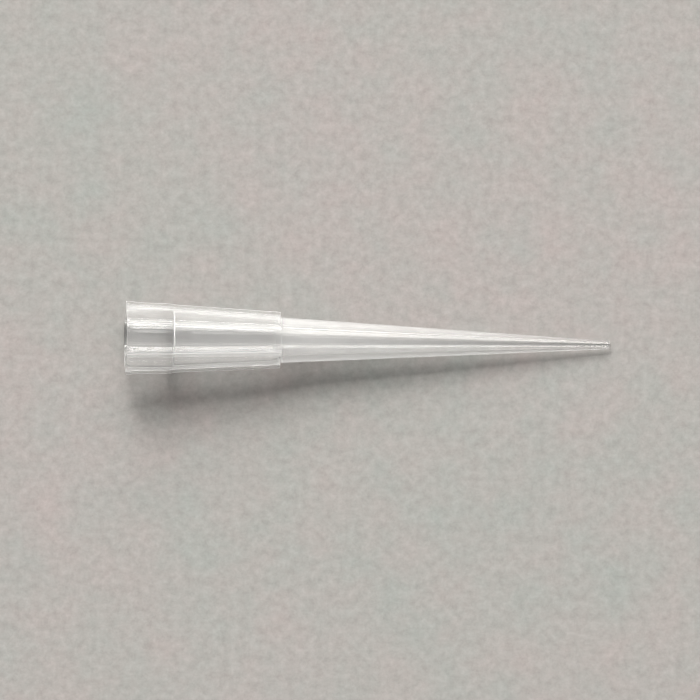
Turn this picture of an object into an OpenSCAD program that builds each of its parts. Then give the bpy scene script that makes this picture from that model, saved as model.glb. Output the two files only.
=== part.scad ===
// Universal pipette tip, 200 microlitre size.
// One thin-walled moulding in natural polypropylene: a collar that grips the
// pipette, a head stiffened by lengthwise ribs, a square shoulder that sits in
// the rack, and a long tapered shaft that ends in a small blunt orifice.
//
// The tip lies on its side, as it comes to rest on a bench: it touches down on
// the shoulder ends of its two lowest ribs and on the edge of the orifice end.
// +X runs from the mouth to the orifice, +Y is across, +Z is up, and the
// surface it lies on is Z = 0. The origin is under the middle of its length.

/* [Overall] */
// Length along the axis, from the mouth to the orifice
tip_l = 51; // [46:0.5:58]
// Length of the ribbed head, from the mouth to the shoulder
head_l = 16.3; // [14:0.1:19]

/* [Mouth and collar] */
// Outside diameter of the lip around the mouth
lip_d = 7.06; // [6.8:0.02:7.6]
// Length of the lip's straight part
lip_l = 0.35; // [0.2:0.05:0.5]
// Length over which the lip blends into the collar
lip_blend = 0.8; // [0.4:0.1:1.2]
// Outside diameter of the collar next to the lip
collar_d = 6.84; // [6.7:0.02:7.2]
// Outside diameter of the collar where its step begins
collar_end_d = 6.67; // [6.5:0.01:7]
// Length of the collar, from the mouth to its step
collar_l = 4.25; // [3.5:0.05:5]
// Length of the conical step below the collar, down to its foot
step_l = 0.75; // [0.4:0.05:1.2]
// Outside diameter at the foot of the step
step_d = 6.55; // [6.4:0.01:6.7]
// Length of the sharp drop at the foot of the step
foot_l = 0.07; // [0.05:0.01:0.2]

/* [Sealing bore] */
// Diameter of the straight land that seals on the pipette's nose
seal_d = 5.86; // [5.5:0.02:6.1]
// Length of the lead-in cone at the mouth
lead_l = 0.5; // [0.2:0.05:0.8]
// Depth of the lead-in cone, measured on the radius
lead_h = 0.13; // [0.05:0.01:0.2]
// Length from the mouth to the end of the sealing land
seal_end = 4.25; // [3:0.05:4.4]
// Diameter of the short land below the sealing land, where it starts
stop_d = 5.83; // [5.5:0.01:5.85]
// Diameter of the short land where it ends
stop_end_d = 5.81; // [5.5:0.01:5.85]
// Distance from the mouth to the start of the short land
stop_start = 4.6; // [4.45:0.05:4.7]
// Distance from the mouth to the end of the short land
stop_end = 4.92; // [4.75:0.01:4.95]
// Distance from the mouth to where the head's own bore begins
bore_start = 5.06; // [5:0.01:5.3]

/* [Head] */
// Outside diameter of the head just below the step
head_d = 6.45; // [6.2:0.01:6.54]
// Outside diameter of the head at the shoulder, between the ribs
head_end_d = 5.16; // [5:0.02:5.6]
// Wall thickness of the head just below the step
head_wall = 0.5; // [0.35:0.01:0.6]
// Wall thickness of the head where the bore starts to narrow
head_end_wall = 0.54; // [0.35:0.01:0.6]

/* [Ribs] */
// Number of ribs around the head
rib_count = 6; // [4:2:12]
// Width of a rib
rib_w = 0.48; // [0.3:0.02:0.8]
// Height of a rib above the collar
rib_h = 0.35; // [0.2:0.01:0.5]
// Height of a rib above the head at the shoulder
rib_end_h = 0.39; // [0.2:0.01:0.5]
// Chamfer on the ribs' ends at the mouth
rib_c = 0.1; // [0.05:0.01:0.15]

/* [Shaft] */
// Outside diameter of the shaft at the shoulder
shaft_d = 4.8; // [4.2:0.02:4.9]
// Wall thickness of the shaft where the head's bore has narrowed down to it
shaft_wall = 0.74; // [0.5:0.01:0.85]
// Distance from the shoulder back to where the bore starts to narrow
throat_back = 0.7; // [0.3:0.1:2]
// Distance from the shoulder forward to where the bore has narrowed
throat_front = 0.8; // [0.3:0.1:2]
// Outside diameter at the orifice end
end_d = 0.88; // [0.7:0.02:1.2]
// Diameter of the orifice
orifice_d = 0.5; // [0.3:0.02:0.6]

/* [Hidden] */
$fn = 120;

natural_pp = [0.86, 0.87, 0.86, 0.7];
cut = 1; // how far the bore's tool runs past each open end

lip_r = lip_d / 2;
collar_r = collar_d / 2;
collar_end_r = collar_end_d / 2;
head_r = head_d / 2;
head_end_r = head_end_d / 2;
shaft_r = shaft_d / 2;
end_r = end_d / 2;
step_r = step_d / 2;
seal_r = seal_d / 2;
stop_r = stop_d / 2;
stop_end_r = stop_end_d / 2;
orifice_r = orifice_d / 2;
step_foot = collar_l + step_l;
step_end = step_foot + foot_l;

// height of a rib above the wall at a distance s from the mouth
function rib_height(s) = rib_h + (rib_end_h - rib_h) * s / head_l;
// outside radius of the head and of the shaft at a distance s from the mouth
function head_at(s) = head_r + (head_end_r - head_r) * (s - step_end) / (head_l - step_end);
function shaft_at(s) = shaft_r + (end_r - shaft_r) * (s - head_l) / (tip_l - head_l);

// where the bore narrows from the head into the shaft
throat_start = head_l - throat_back;
throat_end = head_l + throat_front;
throat_start_r = head_at(throat_start) - head_end_wall;
throat_end_r = shaft_at(throat_end) - shaft_wall;

// Resting attitude. Two ribs lie half a rib pitch either side of straight down,
// and the inner corners of their shoulder ends are the lowest points of the
// head. The line from them to the orifice end lies on the bench.
half_pitch = 180 / rib_count;
rib_crest_r = head_end_r + rib_end_h;
rib_foot = sqrt(pow(rib_crest_r, 2) - pow(rib_w / 2, 2)) * cos(half_pitch) + rib_w / 2 * sin(half_pitch);
rest_tilt = atan((rib_foot - end_r) / (tip_l - head_l));
rest_z = tip_l * sin(rest_tilt) + end_r * cos(rest_tilt);
rest_x = (tip_l * cos(rest_tilt) + (end_r - lip_r) * sin(rest_tilt)) / 2;

// radius and distance from the mouth, for the wall between the ribs
module wall_outline() {
    polygon([
        [0, 0],
        [lip_r, 0],
        [lip_r, lip_l],
        [collar_r, lip_l + lip_blend],
        [collar_end_r, collar_l],
        [step_r, step_foot],
        [head_r, step_end],
        [head_end_r, head_l],
        [shaft_r, head_l],
        [end_r, tip_l],
        [0, tip_l]
    ]);
}

// the surface that the crests of the ribs lie on
module crest_outline() {
    polygon([
        [0, 0],
        [lip_r + rib_height(0) - rib_c, 0],
        [lip_r + rib_height(0), rib_c],
        [lip_r + rib_height(lip_l), lip_l],
        [collar_r + rib_height(lip_l + lip_blend), lip_l + lip_blend],
        [collar_end_r + rib_height(collar_l), collar_l],
        [step_r + rib_height(step_foot), step_foot],
        [head_r + rib_height(step_end), step_end],
        [rib_crest_r, head_l],
        [0, head_l]
    ]);
}

// lead-in, sealing land, short land, head bore, throat, shaft bore, orifice
module bore_outline() {
    polygon([
        [0, -cut],
        [seal_r + lead_h, -cut],
        [seal_r + lead_h, 0],
        [seal_r, lead_l],
        [seal_r, seal_end],
        [stop_r, stop_start],
        [stop_end_r, stop_end],
        [head_r - head_wall, bore_start],
        [throat_start_r, throat_start],
        [throat_end_r, throat_end],
        [orifice_r, tip_l],
        [orifice_r, tip_l + cut],
        [0, tip_l + cut]
    ]);
}

// one rib is a slab from the axis outwards, trimmed to the crest surface
module rib_slabs() {
    for (i = [0 : rib_count - 1])
        rotate([0, 0, half_pitch + i * 360 / rib_count])
            translate([0, -rib_w / 2, 0])
                cube([lip_r + 1, rib_w, head_l]);
}

module pipette_tip() {
    color(natural_pp)
        translate([-rest_x, 0, rest_z])
            rotate([0, 90 + rest_tilt, 0])
                difference() {
                    union() {
                        rotate_extrude() wall_outline();
                        intersection() {
                            rotate_extrude() crest_outline();
                            rib_slabs();
                        }
                    }
                    rotate_extrude() bore_outline();
                }
}

pipette_tip();
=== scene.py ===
import math

import bmesh
import bpy
from mathutils import Matrix, Vector


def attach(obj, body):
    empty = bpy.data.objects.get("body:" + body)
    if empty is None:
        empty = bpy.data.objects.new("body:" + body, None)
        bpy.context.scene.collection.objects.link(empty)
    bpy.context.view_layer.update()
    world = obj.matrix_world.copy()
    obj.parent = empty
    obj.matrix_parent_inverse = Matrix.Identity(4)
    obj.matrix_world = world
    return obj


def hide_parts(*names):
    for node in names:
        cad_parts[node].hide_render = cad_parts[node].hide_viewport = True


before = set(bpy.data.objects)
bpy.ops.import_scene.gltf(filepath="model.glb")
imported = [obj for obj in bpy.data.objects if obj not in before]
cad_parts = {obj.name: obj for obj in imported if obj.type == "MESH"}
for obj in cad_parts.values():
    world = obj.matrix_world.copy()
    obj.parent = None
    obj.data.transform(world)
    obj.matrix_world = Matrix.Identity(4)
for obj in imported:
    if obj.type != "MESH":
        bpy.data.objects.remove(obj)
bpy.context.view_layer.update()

mm = 0.001


def pieceFrom(bm, name):
    # the finished shape as an object at the origin
    mesh = bpy.data.meshes.new(name)
    bm.to_mesh(mesh)
    bm.free()
    made = bpy.data.objects.new(name, mesh)
    bpy.context.scene.collection.objects.link(made)
    return made


# the tip, in millimetres along its own axis, with the mouth at 0
tip = {
    "length": 51.0, "headLength": 16.3,
    # outside: lip, collar, conical step, head and shaft
    "lipRadius": 3.53, "lipLength": 0.35, "lipEnd": 1.15, "lipBlend": 0.2,
    "collarRadius": 3.42, "collarEndRadius": 3.335, "collarLength": 4.25, "collarBlend": 0.06,
    "stepRadius": 3.275, "stepStart": 5.0, "stepBlend": 0.02,
    "headRadius": 3.225, "headStart": 5.07, "headEndRadius": 2.58,
    "shaftRadius": 2.40, "endRadius": 0.44,
    # inside: lead-in, sealing land, short land, head bore, throat and orifice
    "leadDepth": 0.13, "leadLength": 0.5, "leadBlend": 0.2,
    "sealRadius": 2.93, "sealEnd": 4.25, "sealBlend": 0.1,
    "landRadius": 2.915, "landStart": 4.6, "landBlend": 0.08,
    "landEndRadius": 2.905, "landEnd": 4.92, "landEndBlend": 0.03,
    "boreRadius": 2.725, "boreStart": 5.06, "boreBlend": 0.05,
    "throatStartRadius": 2.08, "throatStart": 15.6,
    "throatEndRadius": 1.615, "throatEnd": 17.1, "throatBlend": 0.3,
    "orificeRadius": 0.25,
    "ribs": 6, "ribWidth": 0.48, "ribHeight": 0.35, "ribEndHeight": 0.39,
    # rounding, with the least angle in degrees at which an edge is a corner
    "blendSegments": 4,
    "crestRadius": 0.1, "crestSegments": 4, "crestAngle": 60,
    "cornerRadius": 0.05, "cornerSegments": 3, "cornerAngle": 45,
    # steps all the way round, and how many of them a rib takes on each side of its middle
    "steps": 180, "ribSteps": 2,
    # extra rings of edges: for even faces, and close to each end and to both sides of the shoulder
    "rings": (0.12, 2.2, 3.2, 7, 9, 11, 13, 14.8, 16.18,
              16.42, 18.5, 21, 24, 27, 30, 33, 36, 39, 42, 45, 47.5, 49.5, 50.88),
    # how far under the wall's outline a vertex or the middle of a face still counts as outside
    "vertexSlack": 0.02, "faceSlack": 0.06,
    "crestShare": 0.8,  # a rib's crest begins at this share of its height
    "near": 1e-3, "weld": 1e-5, "cornerWeld": 2e-4,
    "normalWeight": 50,
}


def wallOutside(station):
    # the head's outside radius between the ribs, at this distance from the mouth
    d = tip
    knots = (
        (0, d["lipRadius"]), (d["lipLength"], d["lipRadius"]), (d["lipEnd"], d["collarRadius"]),
        (d["collarLength"], d["collarEndRadius"]), (d["stepStart"], d["stepRadius"]),
        (d["headStart"], d["headRadius"]), (d["headLength"], d["headEndRadius"]),
    )
    for (s0, r0), (s1, r1) in zip(knots, knots[1:]):
        if station <= s1:
            return r0 + (r1 - r0) * (station - s0) / (s1 - s0)
    return d["headEndRadius"]


def ribCrest(radius, station):
    # the radius of a rib's crest where the wall has this radius
    grow = tip["ribEndHeight"] - tip["ribHeight"]
    return radius + tip["ribHeight"] + grow * station / tip["headLength"]


def onCrest(point):
    crest = wallOutside(point.z) + tip["crestShare"] * tip["ribHeight"]
    return math.hypot(point.x, point.y) > crest


def fromRib(point):
    # radius, the angle at which the nearest rib stands, and how far round from it the point is
    pitch = math.tau / tip["ribs"]
    angle = math.atan2(point.y, point.x)
    middle = (math.floor(angle / pitch) + 0.5) * pitch
    return math.hypot(point.x, point.y), middle, angle - middle


def realCorners(bm, degrees):
    # edges whose two faces meet at more than this angle
    least = math.radians(degrees)
    return [e for e in bm.edges if len(e.link_faces) == 2 and e.calc_face_angle(0) > least]


def roundOff(bm, geom, size, segments, affect="EDGES"):
    made = bmesh.ops.bevel(bm, geom=geom, offset=size, offset_type="OFFSET", segments=segments,
                           profile=0.5, affect=affect, clamp_overlap=True, material=-1)
    return made["faces"]


def markRounded(faces, layer):
    # the middle of each rounded strip, for the material
    strip = set(faces)
    for v in {v for f in faces for v in f.verts}:
        if strip.issuperset(v.link_faces):
            v[layer] = 1.0


def spinWall(bm):
    # the wall between the ribs, spun from its closed outline
    d = tip
    outline = (
        # radius, distance from the mouth and blend, along the outside and back through the bore
        (d["sealRadius"] + d["leadDepth"], 0, 0),
        (d["lipRadius"], 0, 0),
        (d["lipRadius"], d["lipLength"], d["lipBlend"]),
        (d["collarRadius"], d["lipEnd"], d["lipBlend"]),
        (d["collarEndRadius"], d["collarLength"], d["collarBlend"]),
        (d["stepRadius"], d["stepStart"], d["stepBlend"]),
        (d["headRadius"], d["headStart"], d["stepBlend"]),
        (d["headEndRadius"], d["headLength"], 0),
        (d["shaftRadius"], d["headLength"], 0),
        (d["endRadius"], d["length"], 0),
        (d["orificeRadius"], d["length"], 0),
        (d["throatEndRadius"], d["throatEnd"], d["throatBlend"]),
        (d["throatStartRadius"], d["throatStart"], d["throatBlend"]),
        (d["boreRadius"], d["boreStart"], d["boreBlend"]),
        (d["landEndRadius"], d["landEnd"], d["landEndBlend"]),
        (d["landRadius"], d["landStart"], d["landBlend"]),
        (d["sealRadius"], d["sealEnd"], d["sealBlend"]),
        (d["sealRadius"], d["leadLength"], d["leadBlend"]),
    )
    corners = [bm.verts.new((radius, 0, station)) for radius, station, _ in outline]
    for a, b in zip(corners, corners[1:] + corners[:1]):
        bm.edges.new((a, b))
    for size in sorted({blend for _, _, blend in outline if blend}):
        alike = [v for v, (_, _, blend) in zip(corners, outline) if blend == size]
        roundOff(bm, alike, size, d["blendSegments"], affect="VERTICES")
    bmesh.ops.spin(bm, geom=bm.verts[:] + bm.edges[:], cent=(0, 0, 0), axis=(0, 0, 1),
                   angle=math.tau, steps=d["steps"], use_merge=True, use_duplicate=False)
    bmesh.ops.remove_doubles(bm, verts=bm.verts[:], dist=d["weld"])
    bmesh.ops.recalc_face_normals(bm, faces=bm.faces[:])
    for station in d["rings"]:
        everything = bm.verts[:] + bm.edges[:] + bm.faces[:]
        bmesh.ops.bisect_plane(bm, geom=everything, dist=d["weld"],
                               plane_co=(0, 0, station), plane_no=(0, 0, 1))
    print("wall spun:", len(bm.faces), "faces")


def gatherForRibs(bm):
    # slide the head's outer vertices round so that each rib keeps its width all the way down
    d = tip
    halfPitch = math.pi / d["ribs"]
    halfStep = d["ribSteps"] * math.tau / d["steps"]
    for v in bm.verts:
        radius, middle, offset = fromRib(v.co)
        outside = max(d["shaftRadius"] + d["vertexSlack"], wallOutside(v.co.z) - d["vertexSlack"])
        if v.co.z > d["headLength"] + d["near"] or radius < outside:
            continue
        half = math.asin(d["ribWidth"] / 2 / radius)
        far = abs(offset)
        if far <= halfStep + d["near"]:
            far = far * half / halfStep
        else:
            far = half + (far - halfStep) * (halfPitch - half) / (halfPitch - halfStep)
        angle = middle + math.copysign(far, offset)
        v.co.x, v.co.y = radius * math.cos(angle), radius * math.sin(angle)


def raiseRibs(bm):
    d = tip
    ribFaces = []
    for f in bm.faces:
        centre = f.calc_center_median()
        radius, _, offset = fromRib(centre)
        onHead = d["near"] <= centre.z <= d["headLength"] - d["near"]
        onWall = radius >= wallOutside(centre.z) - d["faceSlack"]
        if onHead and onWall and abs(offset) * radius < d["ribWidth"] / 2:
            ribFaces.append(f)
    raised = bmesh.ops.extrude_face_region(bm, geom=ribFaces)
    for v in [g for g in raised["geom"] if isinstance(g, bmesh.types.BMVert)]:
        radius, middle, offset = fromRib(v.co)
        across = radius * math.sin(offset)
        out = math.sqrt(ribCrest(radius, v.co.z) ** 2 - across ** 2)
        v.co.x = out * math.cos(middle) - across * math.sin(middle)
        v.co.y = out * math.sin(middle) + across * math.cos(middle)
    bmesh.ops.delete(bm, geom=ribFaces, context="FACES")
    bmesh.ops.recalc_face_normals(bm, faces=bm.faces[:])
    print("ribs raised:", len(ribFaces), "faces")


def roundCorners(bm, rounded):
    # the ribs' crests, then every other moulded corner a little
    d = tip
    crests = [e for e in realCorners(bm, d["crestAngle"]) if all(onCrest(v.co) for v in e.verts)]
    markRounded(roundOff(bm, crests, d["crestRadius"], d["crestSegments"]), rounded)
    sharp = realCorners(bm, d["cornerAngle"])
    markRounded(roundOff(bm, sharp, d["cornerRadius"], d["cornerSegments"]), rounded)
    bmesh.ops.remove_doubles(bm, verts=bm.verts[:], dist=d["cornerWeld"])
    bmesh.ops.recalc_face_normals(bm, faces=bm.faces[:])
    print("corners rounded:", len(bm.faces), "faces")


def layDown(bm):
    # mouth at -X, orifice at +X, resting on the shoulder ends of two ribs and on the orifice end
    d = tip
    halfPitch = math.pi / d["ribs"]
    halfRib = d["ribWidth"] / 2
    crest = d["headEndRadius"] + d["ribEndHeight"]
    foot = math.sqrt(crest ** 2 - halfRib ** 2) * math.cos(halfPitch) + halfRib * math.sin(halfPitch)
    tilt = math.atan((foot - d["endRadius"]) / (d["length"] - d["headLength"]))
    lift = d["length"] * math.sin(tilt) + d["endRadius"] * math.cos(tilt)
    shift = (d["length"] * math.cos(tilt) + (d["endRadius"] - d["lipRadius"]) * math.sin(tilt)) / 2
    turned = Matrix.Rotation(math.pi / 2 + tilt, 4, "Y")
    lay = Matrix.Scale(mm, 4) @ Matrix.Translation((-shift, 0, lift)) @ turned
    bmesh.ops.transform(bm, matrix=lay, verts=bm.verts[:])


def makeTip():
    bm = bmesh.new()
    rounded = bm.verts.layers.float.new("rounded")
    spinWall(bm)
    gatherForRibs(bm)
    raiseRibs(bm)
    roundCorners(bm, rounded)
    layDown(bm)
    for f in bm.faces:
        f.smooth = True
    made = pieceFrom(bm, "pipetteTip")
    even = made.modifiers.new("evenNormals", "WEIGHTED_NORMAL")
    even.weight = tip["normalWeight"]
    even.keep_sharp = False
    return made


def noiseOn(nt, where, size, detail=3.0, harsh=0.5, stretch=(1, 1, 1)):
    # one noise on the object's own coordinates, with features of about this size
    lay = nt.nodes.new("ShaderNodeMapping")
    lay.inputs["Scale"].default_value = [1 / (size * s) for s in stretch]
    noise = nt.nodes.new("ShaderNodeTexNoise")
    noise.inputs["Scale"].default_value = 1.0
    noise.inputs["Detail"].default_value = detail
    noise.inputs["Roughness"].default_value = harsh
    nt.links.new(where.outputs["Object"], lay.inputs["Vector"])
    nt.links.new(lay.outputs["Vector"], noise.inputs["Vector"])
    return noise.outputs["Fac"]


def rampOf(nt, source, low, high, start=0.3, end=0.7):
    ramp = nt.nodes.new("ShaderNodeValToRGB")
    first, last = ramp.color_ramp.elements
    first.position, first.color = start, low
    last.position, last.color = end, high
    nt.links.new(source, ramp.inputs["Fac"])
    return ramp.outputs["Color"]


def rangeOf(nt, source, low, high, start=0.3, end=0.7):
    span = nt.nodes.new("ShaderNodeMapRange")
    span.inputs["From Min"].default_value = start
    span.inputs["From Max"].default_value = end
    span.inputs["To Min"].default_value = low
    span.inputs["To Max"].default_value = high
    nt.links.new(source, span.inputs["Value"])
    return span.outputs["Result"]


def timesOf(nt, colour, tint):
    mix = nt.nodes.new("ShaderNodeMixRGB")
    mix.blend_type = "MULTIPLY"
    mix.inputs["Fac"].default_value = 1.0
    nt.links.new(colour, mix.inputs["Color1"])
    nt.links.new(tint, mix.inputs["Color2"])
    return mix.outputs["Color"]


def bumpOn(nt, skin, height, depth):
    bump = nt.nodes.new("ShaderNodeBump")
    bump.inputs["Strength"].default_value = 1.0
    bump.inputs["Distance"].default_value = depth
    nt.links.new(height, bump.inputs["Height"])
    nt.links.new(bump.outputs["Normal"], skin.inputs["Normal"])


def grey(value):
    return (value, value, value, 1)


def alongTip(nt, where, stops):
    # a grey that changes along the tip, from pairs of a station and a value
    cut = nt.nodes.new("ShaderNodeSeparateXYZ")
    nt.links.new(where.outputs["Object"], cut.inputs["Vector"])
    far = tip["length"] / 2 * mm
    station = rangeOf(nt, cut.outputs["X"], 0, 1, -far, far)
    ramp = nt.nodes.new("ShaderNodeValToRGB")
    marks = ramp.color_ramp.elements
    while len(marks) < len(stops):
        marks.new(0.5)
    for mark, (at, value) in zip(marks, stops):
        mark.position = at / tip["length"]
        mark.color = grey(value)
    nt.links.new(station, ramp.inputs["Fac"])
    return ramp.outputs["Color"]


# natural polypropylene: clear, a little milky where it is thick, smooth from the mould
plastic = {
    "clearness": 1.0, "refraction": 1.49,
    "clearColour": (0.995, 0.995, 0.99, 1), "cloudColour": (0.965, 0.965, 0.96, 1),
    "cloudSize": 1.6 * mm,
    "smoothest": 0.02, "dullest": 0.05, "dullSize": 2.5 * mm, "dullDetail": 2,
    "cornerDull": 0.4,  # how much duller the rounded corners are than the polished walls
    # faint flow marks that run along the moulding
    "flowAcross": 0.12 * mm, "flowAlong": 9 * mm, "flowDetail": 2, "flowDepth": 0.08e-6,
    "milkColour": 0.995, "milk": 520, "milkForward": 0.0,
    # the lamps' light passes a wall that it meets squarely and not one that it grazes
    "passes": 1.06, "stops": 0.03, "passesTo": 0.22, "stopsFrom": 0.66, "squareOn": 0.5,
    # and this share of it still passes at these distances from the mouth, in millimetres
    "bends": ((3.9, 1.0), (4.3, 0.75), (5.05, 0.75), (5.4, 1.0)),
}


def glossyWall(nt, where):
    p = plastic
    skin = nt.nodes.new("ShaderNodeBsdfPrincipled")
    skin.inputs["Transmission Weight"].default_value = p["clearness"]
    skin.inputs["IOR"].default_value = p["refraction"]
    clouds = noiseOn(nt, where, p["cloudSize"])
    nt.links.new(rampOf(nt, clouds, p["cloudColour"], p["clearColour"]), skin.inputs["Base Color"])
    dull = noiseOn(nt, where, p["dullSize"], detail=p["dullDetail"])
    rounded = nt.nodes.new("ShaderNodeAttribute")
    rounded.attribute_name = "rounded"
    rough = nt.nodes.new("ShaderNodeMath")
    rough.operation = "MULTIPLY_ADD"
    rough.inputs[1].default_value = p["cornerDull"]
    nt.links.new(rounded.outputs["Fac"], rough.inputs[0])
    nt.links.new(rangeOf(nt, dull, p["smoothest"], p["dullest"]), rough.inputs[2])
    nt.links.new(rough.outputs["Value"], skin.inputs["Roughness"])
    stretch = (p["flowAlong"] / p["flowAcross"], 1, 1)
    flow = noiseOn(nt, where, p["flowAcross"], detail=p["flowDetail"], stretch=stretch)
    bumpOn(nt, skin, flow, p["flowDepth"])
    return skin.outputs["BSDF"]


def lampsThrough(nt, where):
    p = plastic
    side = nt.nodes.new("ShaderNodeLayerWeight")
    side.inputs["Blend"].default_value = p["squareOn"]
    through = nt.nodes.new("ShaderNodeBsdfTransparent")
    passed = rampOf(nt, side.outputs["Facing"], grey(p["passes"]), grey(p["stops"]),
                    p["passesTo"], p["stopsFrom"])
    nt.links.new(timesOf(nt, passed, alongTip(nt, where, p["bends"])), through.inputs["Color"])
    return through.outputs["BSDF"]


def naturalPolypropylene():
    p = plastic
    mat = bpy.data.materials.new("naturalPolypropylene")
    mat.use_nodes = True
    nt = mat.node_tree
    nt.nodes.clear()
    where = nt.nodes.new("ShaderNodeTexCoord")
    wall = glossyWall(nt, where)
    rays = nt.nodes.new("ShaderNodeLightPath")
    through = lampsThrough(nt, where)
    mix = nt.nodes.new("ShaderNodeMixShader")
    nt.links.new(rays.outputs["Is Shadow Ray"], mix.inputs[0])
    nt.links.new(wall, mix.inputs[1])
    nt.links.new(through, mix.inputs[2])
    milk = nt.nodes.new("ShaderNodeVolumeScatter")
    milk.inputs["Color"].default_value = grey(p["milkColour"])
    milk.inputs["Density"].default_value = p["milk"]
    milk.inputs["Anisotropy"].default_value = p["milkForward"]
    out = nt.nodes.new("ShaderNodeOutputMaterial")
    nt.links.new(mix.outputs["Shader"], out.inputs["Surface"])
    nt.links.new(milk.outputs["Volume"], out.inputs["Volume"])
    return mat


piece = makeTip()
piece.data.materials.append(naturalPolypropylene())
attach(piece, "root")
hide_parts("pipette_tip")
print("tip finished")

# bench top: pale warm grey with a fine soft mottle
bench = {
    "radius": 1.7, "sides": 96,
    "colour": (0.354, 0.342, 0.33, 1), "paleColour": (0.47, 0.457, 0.445, 1),
    "grain": 1.0 * mm, "grainDetail": 5, "grainHarsh": 0.74, "grainDepth": 4e-6,
    "warm": (1.058, 0.992, 0.99, 1), "cool": (0.946, 1.003, 0.989, 1),
    "patch": 7 * mm, "patchDetail": 6, "patchHarsh": 0.62,
    "wideWarm": (1.022, 0.996, 0.999, 1), "wideCool": (0.982, 1.002, 0.994, 1),
    "wide": 45 * mm, "wideDetail": 2, "wideFrom": 0.4, "wideTo": 0.6,
    "roughness": 0.85, "shine": 0.2,
}


def benchSurface():
    b = bench
    mat = bpy.data.materials.new("benchTop")
    mat.use_nodes = True
    nt = mat.node_tree
    skin = nt.nodes["Principled BSDF"]
    where = nt.nodes.new("ShaderNodeTexCoord")
    grain = noiseOn(nt, where, b["grain"], detail=b["grainDetail"], harsh=b["grainHarsh"])
    patches = noiseOn(nt, where, b["patch"], detail=b["patchDetail"], harsh=b["patchHarsh"])
    wide = noiseOn(nt, where, b["wide"], detail=b["wideDetail"])
    wideTint = rampOf(nt, wide, b["wideWarm"], b["wideCool"], b["wideFrom"], b["wideTo"])
    colour = rampOf(nt, grain, b["colour"], b["paleColour"])
    colour = timesOf(nt, colour, rampOf(nt, patches, b["warm"], b["cool"]))
    nt.links.new(timesOf(nt, colour, wideTint), skin.inputs["Base Color"])
    bumpOn(nt, skin, grain, b["grainDepth"])
    skin.inputs["Roughness"].default_value = b["roughness"]
    skin.inputs["Specular IOR Level"].default_value = b["shine"]
    return mat


def makeBench():
    bm = bmesh.new()
    bmesh.ops.create_circle(bm, cap_ends=True, radius=bench["radius"], segments=bench["sides"])
    floor = pieceFrom(bm, "benchTop")
    floor.data.materials.append(benchSurface())


makeBench()

# soft light: a tall window that is brightest on its left, the wall under it and a little from above
lights = {
    "reach": 5.0,
    "panels": {
        # zenith angle, turn from +Y, width and height in degrees, brightness
        "window": (49, -15, 12, 24, 28.5),
        "windowMiddle": (49, 0, 12, 24, 13.5),
        "windowRight": (49, 22, 26, 24, 4.2),
        "windowLeft": (40, -34, 18, 6, 12.5),
        "wall": (67, 0, 26, 6, 10.8),
        "ceiling": (25, 0, 26, 10, 2.9),
        "above": (5, 0, 26, 10, 0.6),
    },
    "lampColour": (1.0, 0.982, 0.955),
    "skyColour": (1.0, 0.99, 0.975, 1), "skyStrength": 0.03,
    "milkBounces": 6,
}


def makeSky():
    world = bpy.data.worlds.new("studioAir")
    bpy.context.scene.world = world
    world.use_nodes = True
    back = world.node_tree.nodes["Background"]
    back.inputs["Color"].default_value = lights["skyColour"]
    back.inputs["Strength"].default_value = lights["skyStrength"]


def softPanel(name, zenith, turn, wide, tall, glow):
    # a flat soft light that fills these angles as seen from the tip
    reach = lights["reach"]
    zenith, turn = math.radians(zenith), math.radians(turn)
    data = bpy.data.lights.new(name, "AREA")
    data.shape = "RECTANGLE"
    data.size = 2 * reach * math.tan(math.radians(wide / 2))
    data.size_y = 2 * reach * math.tan(math.radians(tall / 2))
    data.energy = math.pi * data.size * data.size_y * glow
    data.color = lights["lampColour"]
    lamp = bpy.data.objects.new(name, data)
    level = math.sin(zenith)
    lamp.location = Vector((level * math.sin(turn), level * math.cos(turn), math.cos(zenith)))
    lamp.location *= reach
    lamp.rotation_euler = (-lamp.location).to_track_quat("-Z", "Y").to_euler()
    lamp.visible_camera = False
    bpy.context.scene.collection.objects.link(lamp)


makeSky()
for name, panel in lights["panels"].items():
    softPanel(name, *panel)
tracing = bpy.context.scene.cycles
tracing.caustics_refractive = False  # the plastic's shadow side lets the lamps through
tracing.caustics_reflective = True
tracing.volume_bounces = lights["milkBounces"]
print("bench and lights placed")

view = {
    "centre": (-0.00176, -0.00093, 0.002), "distance": 1.3, "frameWidth": 0.07358, "roll": 0.88,
    "sensor": 36, "farEnd": 20,
    "softening": 1.0,  # little, so that thin moulded lines stay thin
}


def placeCamera():
    # straight above the tip, looking down
    scene = bpy.context.scene
    data = bpy.data.cameras.new("camera")
    data.sensor_width = view["sensor"]
    data.lens = view["sensor"] * view["distance"] / view["frameWidth"]
    data.clip_end = view["farEnd"]
    cam = bpy.data.objects.new("camera", data)
    cam.location = Vector(view["centre"]) + Vector((0, 0, view["distance"]))
    cam.rotation_euler = (0, 0, math.radians(view["roll"]))
    scene.collection.objects.link(cam)
    scene.camera = cam
    scene.cycles.filter_width = view["softening"]
    scene.view_settings.view_transform = "Standard"


placeCamera()
print("camera placed")
